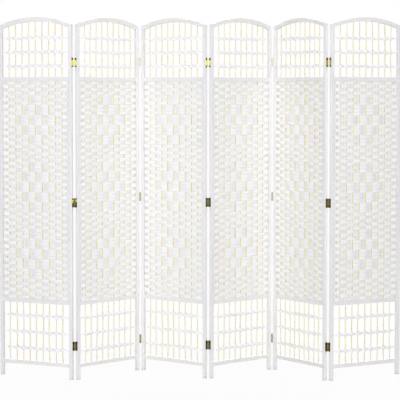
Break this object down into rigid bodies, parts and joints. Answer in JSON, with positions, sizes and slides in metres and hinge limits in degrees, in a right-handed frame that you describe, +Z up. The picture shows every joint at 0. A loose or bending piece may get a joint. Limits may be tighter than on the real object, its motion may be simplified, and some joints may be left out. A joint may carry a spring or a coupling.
{
  "type": "folding room divider",
  "caption": "Free-standing folding screen: arched white wooden panels with woven paper on bamboo rods, open lattices above and below, on two-way brass hinges.",
  "frame": {"origin": "on the floor, at the middle of the box around the screen as it stands in its zigzag", "axes": "+X along the screen from the first panel to the last, +Y from its front to its back, +Z up"},
  "size_m": [1.9098, 0.3388, 1.7],
  "materials": {
    "painted_wood": "satin white paint",
    "bamboo": "natural",
    "paper_weave": "matte crinkled paper",
    "paper_cord": "matte twisted paper",
    "brass": "plated, polished",
    "pin_steel": "dark bronzed",
    "screw_steel": "plated"
  },
  "bodies": {
    "panel_1": {"panel_1_stiles": "painted_wood", "panel_1_arched_rail": "painted_wood", "panel_1_cross_rails": "painted_wood", "panel_1_rods": "bamboo", "panel_1_woven_mat": "paper_weave", "panel_1_lattice_cords": "paper_cord", "panel_1_hinge_leaves": "brass", "panel_1_hinge_screws": "screw_steel"},
    "panel_2": {"panel_2_stiles": "painted_wood", "panel_2_arched_rail": "painted_wood", "panel_2_cross_rails": "painted_wood", "panel_2_rods": "bamboo", "panel_2_woven_mat": "paper_weave", "panel_2_lattice_cords": "paper_cord", "panel_2_hinge_leaves": "brass", "panel_2_hinge_screws": "screw_steel"},
    "panel_3": {"panel_3_stiles": "painted_wood", "panel_3_arched_rail": "painted_wood", "panel_3_cross_rails": "painted_wood", "panel_3_rods": "bamboo", "panel_3_woven_mat": "paper_weave", "panel_3_lattice_cords": "paper_cord", "panel_3_hinge_leaves": "brass", "panel_3_hinge_screws": "screw_steel"},
    "panel_4": {"panel_4_stiles": "painted_wood", "panel_4_arched_rail": "painted_wood", "panel_4_cross_rails": "painted_wood", "panel_4_rods": "bamboo", "panel_4_woven_mat": "paper_weave", "panel_4_lattice_cords": "paper_cord", "panel_4_hinge_leaves": "brass", "panel_4_hinge_screws": "screw_steel"},
    "panel_5": {"panel_5_stiles": "painted_wood", "panel_5_arched_rail": "painted_wood", "panel_5_cross_rails": "painted_wood", "panel_5_rods": "bamboo", "panel_5_woven_mat": "paper_weave", "panel_5_lattice_cords": "paper_cord", "panel_5_hinge_leaves": "brass", "panel_5_hinge_screws": "screw_steel"},
    "panel_6": {"panel_6_stiles": "painted_wood", "panel_6_arched_rail": "painted_wood", "panel_6_cross_rails": "painted_wood", "panel_6_rods": "bamboo", "panel_6_woven_mat": "paper_weave", "panel_6_lattice_cords": "paper_cord", "panel_6_hinge_leaves": "brass", "panel_6_hinge_screws": "screw_steel"},
    "hinge_1_2": {"hinge_1_2_links": "brass", "hinge_1_2_pins": "pin_steel"},
    "hinge_2_3": {"hinge_2_3_links": "brass", "hinge_2_3_pins": "pin_steel"},
    "hinge_3_4": {"hinge_3_4_links": "brass", "hinge_3_4_pins": "pin_steel"},
    "hinge_4_5": {"hinge_4_5_links": "brass", "hinge_4_5_pins": "pin_steel"},
    "hinge_5_6": {"hinge_5_6_links": "brass", "hinge_5_6_pins": "pin_steel"}
  },
  "joints": [
    {"name": "panel_2_left_pin", "type": "hinge", "parent": "panel_2", "child": "hinge_1_2", "pos_m": [-0.57794, -0.13598, 0.832], "axis": [0, 0, -1], "range_deg": [-125, 55]},
    {"name": "panel_1_right_pin", "type": "hinge", "parent": "hinge_1_2", "child": "panel_1", "pos_m": [-0.59331, -0.13869, 0.832], "axis": [0, 0, -1], "range_deg": [-125, 55]},
    {"name": "panel_3_left_pin", "type": "hinge", "parent": "panel_3", "child": "hinge_2_3", "pos_m": [-0.28165, 0.14569, 0.832], "axis": [0, 0, 1], "range_deg": [-131.5, 48.5]},
    {"name": "panel_2_right_pin", "type": "hinge", "parent": "hinge_2_3", "child": "panel_2", "pos_m": [-0.29722, 0.14474, 0.832], "axis": [0, 0, 1], "range_deg": [-131.5, 48.5]},
    {"name": "panel_3_right_pin", "type": "hinge", "parent": "panel_3", "child": "hinge_3_4", "pos_m": [0.03119, -0.09873, 0.832], "axis": [0, 0, 1], "range_deg": [-129.75, 50.25]},
    {"name": "panel_4_left_pin", "type": "hinge", "parent": "hinge_3_4", "child": "panel_4", "pos_m": [0.04678, -0.09825, 0.832], "axis": [0, 0, 1], "range_deg": [-129.75, 50.25]},
    {"name": "panel_4_right_pin", "type": "hinge", "parent": "panel_4", "child": "hinge_4_5", "pos_m": [0.34412, 0.16481, 0.832], "axis": [0, 0, -1], "range_deg": [-138, 42]},
    {"name": "panel_5_left_pin", "type": "hinge", "parent": "hinge_4_5", "child": "panel_5", "pos_m": [0.35962, 0.16304, 0.832], "axis": [0, 0, -1], "range_deg": [-138, 42]},
    {"name": "panel_5_right_pin", "type": "hinge", "parent": "panel_5", "child": "hinge_5_6", "pos_m": [0.59016, -0.16016, 0.832], "axis": [0, 0, 1], "range_deg": [-131.75, 48.25]},
    {"name": "panel_6_left_pin", "type": "hinge", "parent": "hinge_5_6", "child": "panel_6", "pos_m": [0.60537, -0.1636, 0.832], "axis": [0, 0, 1], "range_deg": [-131.75, 48.25]}
  ]
}
